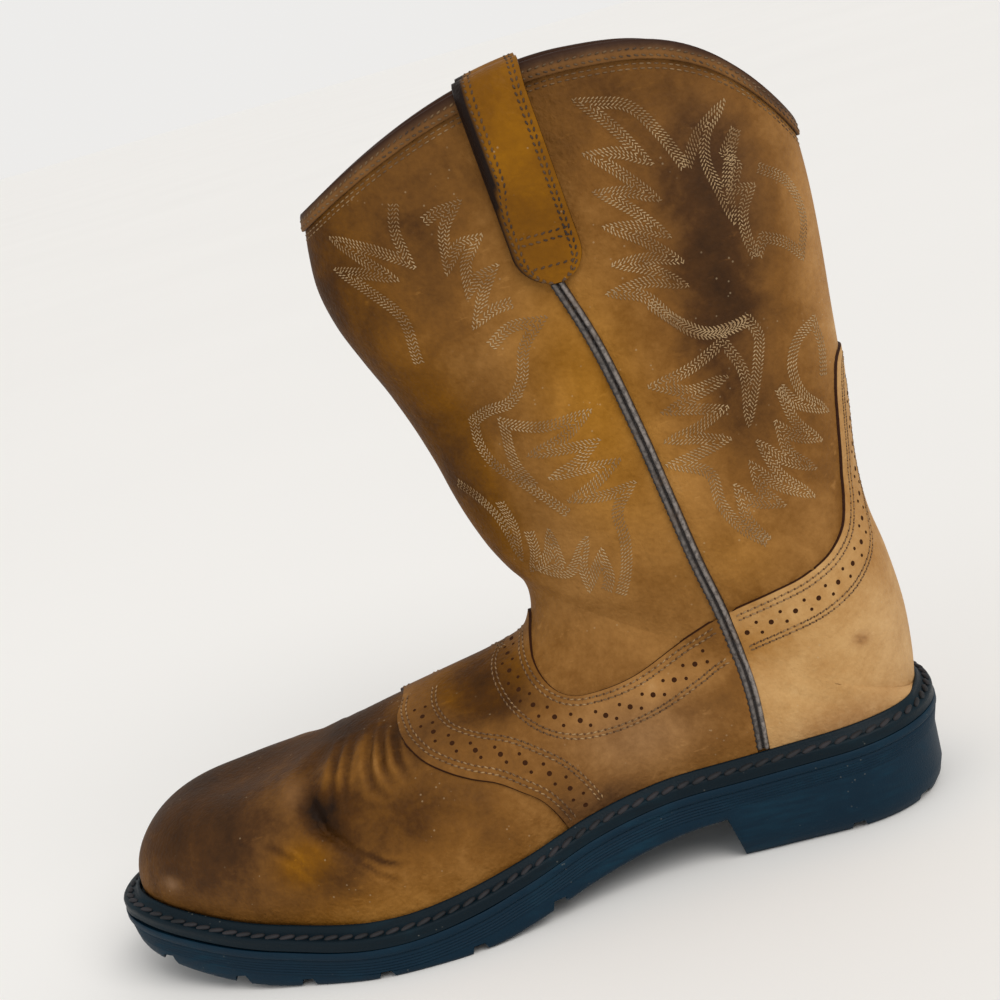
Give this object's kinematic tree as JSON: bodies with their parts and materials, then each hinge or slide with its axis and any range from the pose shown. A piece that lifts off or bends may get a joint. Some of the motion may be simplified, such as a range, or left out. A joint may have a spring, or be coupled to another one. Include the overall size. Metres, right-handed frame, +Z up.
{
  "type": "western work boot",
  "caption": "Pull-on western work boot, left foot: hollow leather shaft with scalloped collar, side pull straps, perforated saddle and counter, welt and lugged rubber sole with heel.",
  "frame": {"origin": "on the ground under the centre of the boot's bounding box", "axes": "+Z up, -X toward the toe, +X toward the heel, -Y toward the outer side of the foot"},
  "size_m": [0.3128, 0.1134, 0.2897],
  "materials": {
    "tan_leather": "worn matt tan nubuck-like leather",
    "overlay_leather": "worn matt leather, a little lighter",
    "grey_piping": "dark grey piping with a low sheen",
    "strap_leather": "smooth matt orange-brown leather",
    "dark_binding": "dark brown binding leather",
    "welt_rubber": "satin black",
    "insole_fabric": "matt woven lining",
    "black_rubber": "matt black with a blue cast"
  },
  "bodies": {
    "root": {"upper": "tan_leather", "saddle": "overlay_leather", "counter": "overlay_leather", "side_piping_outer": "grey_piping", "side_piping_inner": "grey_piping", "pull_strap_outer": "strap_leather", "pull_strap_inner": "strap_leather", "collar_binding": "dark_binding", "welt": "welt_rubber", "insole": "insole_fabric", "outsole": "black_rubber"}
  },
  "joints": []
}
